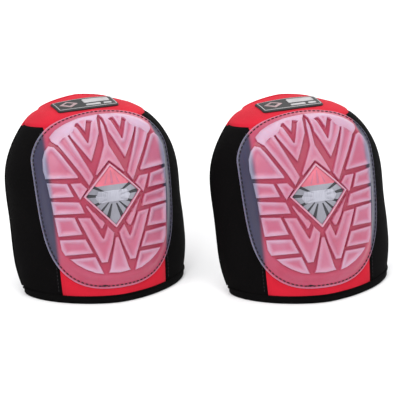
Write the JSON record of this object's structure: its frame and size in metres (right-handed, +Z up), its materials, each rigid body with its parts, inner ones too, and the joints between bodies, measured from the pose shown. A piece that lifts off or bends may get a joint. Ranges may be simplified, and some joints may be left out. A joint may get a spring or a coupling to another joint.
{
  "type": "pair of knee pads",
  "caption": "Pair of curved gel knee pads with a treaded translucent cap, foam shell, fabric cover and hook-and-ring webbing straps.",
  "frame": {"origin": "on the floor, under the middle of the pair's bounding box", "axes": "+X along the row of two pads, from the left one to the right one; +Y from the fronts to the open backs; +Z up"},
  "size_m": [0.3734, 0.1462, 0.1713],
  "materials": {
    "cap_rubber": "smooth milky translucent thermoplastic rubber",
    "badge_silver": "silver and red printed plate",
    "red_fabric": "smooth red woven polyester",
    "black_fabric": "matt black woven polyester",
    "label_rubber": "matt moulded rubber",
    "gel": "soft clear gel",
    "foam": "closed-cell foam",
    "lining_fabric": "brushed lining",
    "binding_tape": "ribbed tape",
    "cushion_fabric": "padded air mesh",
    "webbing": "elastic webbing",
    "buckle_plastic": "satin moulded plastic",
    "ring_metal": "black coated wire"
  },
  "bodies": {
    "left_pad": {"left_tread_cap": "cap_rubber", "left_badge_plate": "badge_silver", "left_thigh_panel": "red_fabric", "left_center_panel": "red_fabric", "left_outer_side_panel": "black_fabric", "left_inner_side_panel": "black_fabric", "left_top_label": "label_rubber", "left_gel_core": "gel", "left_foam_shell": "foam", "left_lining": "lining_fabric", "left_edge_binding": "binding_tape", "left_bottom_hem": "black_fabric", "left_thigh_cushion": "cushion_fabric", "left_shin_cushion": "cushion_fabric", "left_outer_side_cushion": "cushion_fabric", "left_inner_side_cushion": "cushion_fabric", "left_lower_strap_patch": "webbing", "left_lower_ring_patch": "webbing", "left_lower_ring_tab": "webbing", "left_upper_strap_patch": "webbing", "left_upper_ring_patch": "webbing", "left_upper_ring_tab": "webbing"},
    "left_lower_strap_body": {"left_lower_strap": "webbing"},
    "left_lower_strap_clip_body": {"left_lower_strap_clip": "buckle_plastic"},
    "left_lower_strap_ring_body": {"left_lower_strap_ring": "ring_metal"},
    "left_upper_strap_body": {"left_upper_strap": "webbing"},
    "left_upper_strap_clip_body": {"left_upper_strap_clip": "buckle_plastic"},
    "left_upper_strap_ring_body": {"left_upper_strap_ring": "ring_metal"},
    "right_pad": {"right_tread_cap": "cap_rubber", "right_badge_plate": "badge_silver", "right_thigh_panel": "red_fabric", "right_center_panel": "red_fabric", "right_outer_side_panel": "black_fabric", "right_inner_side_panel": "black_fabric", "right_top_label": "label_rubber", "right_gel_core": "gel", "right_foam_shell": "foam", "right_lining": "lining_fabric", "right_edge_binding": "binding_tape", "right_bottom_hem": "black_fabric", "right_thigh_cushion": "cushion_fabric", "right_shin_cushion": "cushion_fabric", "right_outer_side_cushion": "cushion_fabric", "right_inner_side_cushion": "cushion_fabric", "right_lower_strap_patch": "webbing", "right_lower_ring_patch": "webbing", "right_lower_ring_tab": "webbing", "right_upper_strap_patch": "webbing", "right_upper_ring_patch": "webbing", "right_upper_ring_tab": "webbing"},
    "right_lower_strap_body": {"right_lower_strap": "webbing"},
    "right_lower_strap_clip_body": {"right_lower_strap_clip": "buckle_plastic"},
    "right_lower_strap_ring_body": {"right_lower_strap_ring": "ring_metal"},
    "right_upper_strap_body": {"right_upper_strap": "webbing"},
    "right_upper_strap_clip_body": {"right_upper_strap_clip": "buckle_plastic"},
    "right_upper_strap_ring_body": {"right_upper_strap_ring": "ring_metal"}
  },
  "joints": [
    {"name": "left_lower_strap_swing", "type": "hinge", "parent": "left_pad", "child": "left_lower_strap_body", "pos_m": [-0.16837, -0.02021, 0.036], "axis": [0, 0, 1], "range_deg": [0, 110]},
    {"name": "left_lower_clip_pivot", "type": "hinge", "parent": "left_lower_strap_body", "child": "left_lower_strap_clip_body", "pos_m": [-0.05979, 0.02185, 0.036], "axis": [0, 0, 1], "range_deg": [0, 25]},
    {"name": "left_lower_ring_swivel", "type": "hinge", "parent": "left_pad", "child": "left_lower_strap_ring_body", "pos_m": [-0.03436, 0.03091, 0.036], "axis": [0, 0, 1], "range_deg": [0, 40]},
    {"name": "left_upper_strap_swing", "type": "hinge", "parent": "left_pad", "child": "left_upper_strap_body", "pos_m": [-0.17674, 0.0033, 0.1], "axis": [0, 0, 1], "range_deg": [0, 110]},
    {"name": "left_upper_clip_pivot", "type": "hinge", "parent": "left_upper_strap_body", "child": "left_upper_strap_clip_body", "pos_m": [-0.06816, 0.04536, 0.1], "axis": [0, 0, 1], "range_deg": [0, 25]},
    {"name": "left_upper_ring_swivel", "type": "hinge", "parent": "left_pad", "child": "left_upper_strap_ring_body", "pos_m": [-0.04273, 0.05441, 0.1], "axis": [0, 0, 1], "range_deg": [0, 40]},
    {"name": "right_lower_strap_swing", "type": "hinge", "parent": "right_pad", "child": "right_lower_strap_body", "pos_m": [0.03013, -0.02021, 0.036], "axis": [0, 0, 1], "range_deg": [0, 110]},
    {"name": "right_lower_clip_pivot", "type": "hinge", "parent": "right_lower_strap_body", "child": "right_lower_strap_clip_body", "pos_m": [0.13871, 0.02185, 0.036], "axis": [0, 0, 1], "range_deg": [0, 25]},
    {"name": "right_lower_ring_swivel", "type": "hinge", "parent": "right_pad", "child": "right_lower_strap_ring_body", "pos_m": [0.16414, 0.03091, 0.036], "axis": [0, 0, 1], "range_deg": [0, 40]},
    {"name": "right_upper_strap_swing", "type": "hinge", "parent": "right_pad", "child": "right_upper_strap_body", "pos_m": [0.02176, 0.0033, 0.1], "axis": [0, 0, 1], "range_deg": [0, 110]},
    {"name": "right_upper_clip_pivot", "type": "hinge", "parent": "right_upper_strap_body", "child": "right_upper_strap_clip_body", "pos_m": [0.13034, 0.04536, 0.1], "axis": [0, 0, 1], "range_deg": [0, 25]},
    {"name": "right_upper_ring_swivel", "type": "hinge", "parent": "right_pad", "child": "right_upper_strap_ring_body", "pos_m": [0.15577, 0.05441, 0.1], "axis": [0, 0, 1], "range_deg": [0, 40]},
    {"name": "second_pad_away", "type": "slide", "parent": "left_pad", "child": "right_pad", "axis": [1, 0, 0], "range_m": [0, 0.2]}
  ]
}
